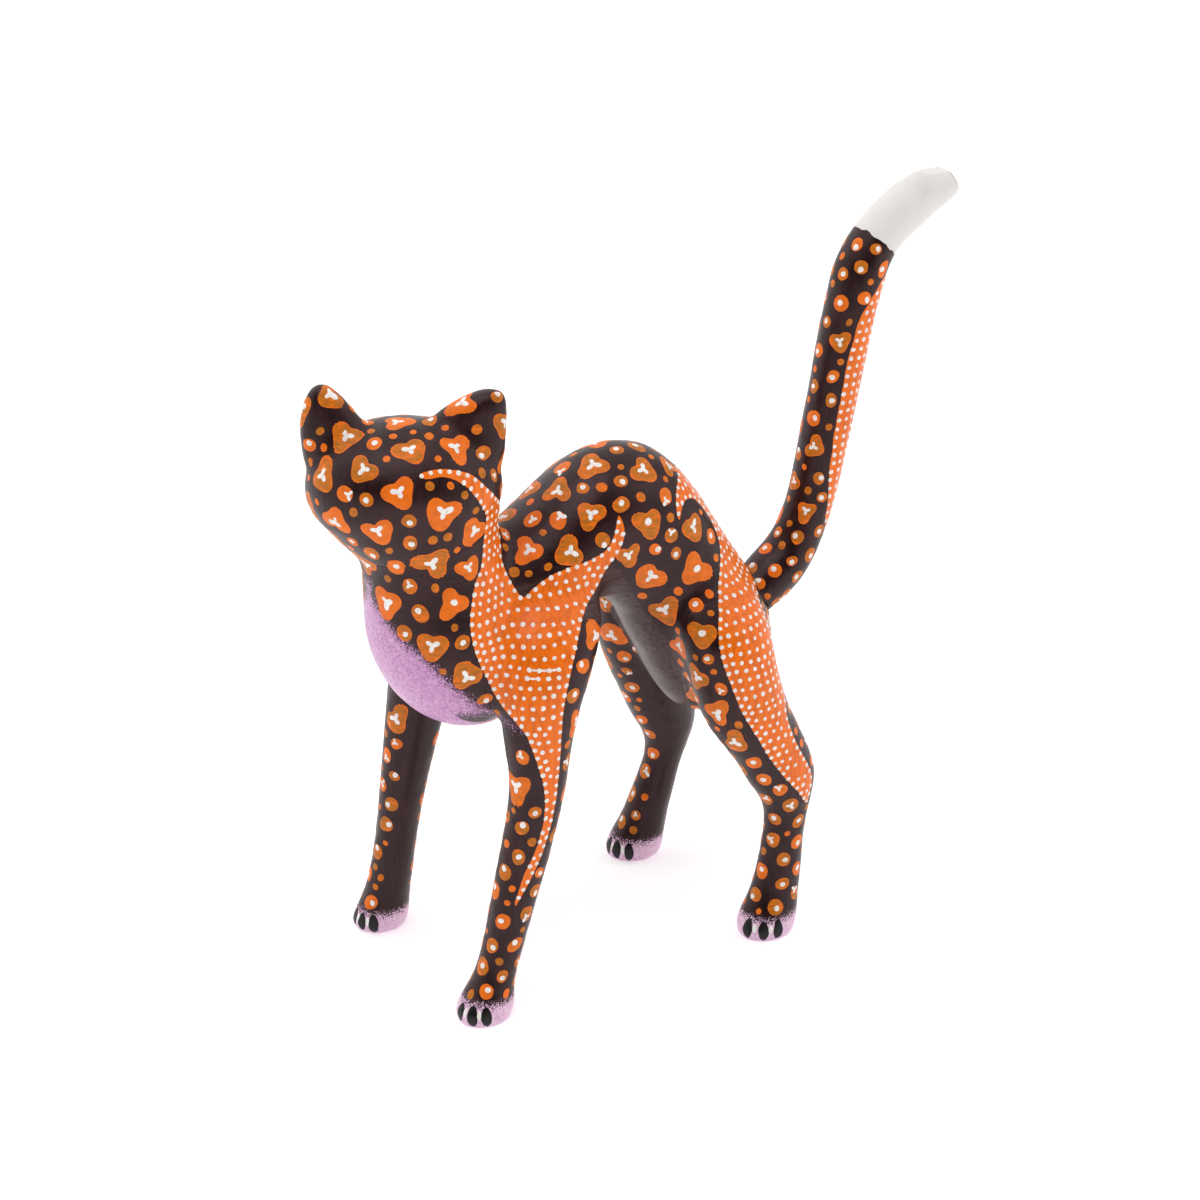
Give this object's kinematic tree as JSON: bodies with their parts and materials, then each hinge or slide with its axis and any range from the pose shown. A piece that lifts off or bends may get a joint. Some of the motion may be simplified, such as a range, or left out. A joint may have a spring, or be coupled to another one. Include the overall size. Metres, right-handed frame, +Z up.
{
  "type": "carved wooden cat figure",
  "caption": "Standing carved wooden cat with an arched back, its head turned over the right shoulder, slim glued-on legs and a raised push-fit tail.",
  "frame": {"origin": "bottom centre of the whole figure's box, on the plane its four feet stand on", "axes": "+Z up; the cat heads along -Y, its left side is +X and its tail rises at the +Y end"},
  "size_m": [0.0786, 0.2098, 0.2289],
  "materials": {
    "painted_wood": "carved copal wood, acrylic paint under a satin varnish: near-black purple brown with orange spots, white dots, lilac bib and paws, white tail tip",
    "dowel_wood": "bare turned dowel"
  },
  "bodies": {
    "carving": {"torso": "painted_wood", "head": "painted_wood", "left_ear": "painted_wood", "right_ear": "painted_wood", "front_left_leg": "painted_wood", "front_right_leg": "painted_wood", "hind_left_leg": "painted_wood", "hind_right_leg": "painted_wood", "neck_dowel": "dowel_wood", "left_ear_peg": "dowel_wood", "right_ear_peg": "dowel_wood", "front_left_leg_dowel": "dowel_wood", "front_right_leg_dowel": "dowel_wood", "hind_left_leg_dowel": "dowel_wood", "hind_right_leg_dowel": "dowel_wood"},
    "tail_pin": {"tail_dowel": "dowel_wood"},
    "tail": {"tail": "painted_wood"}
  },
  "joints": [
    {"name": "tail_pull", "type": "slide", "parent": "carving", "child": "tail_pin", "axis": [0, 0.848, 0.5299], "range_m": [0, 0.018]},
    {"name": "tail_twist", "type": "hinge", "parent": "tail_pin", "child": "tail", "pos_m": [0.00004, 0.03702, 0.1028], "axis": [0, 0.848, 0.5299], "range_deg": [-90, 90]}
  ]
}
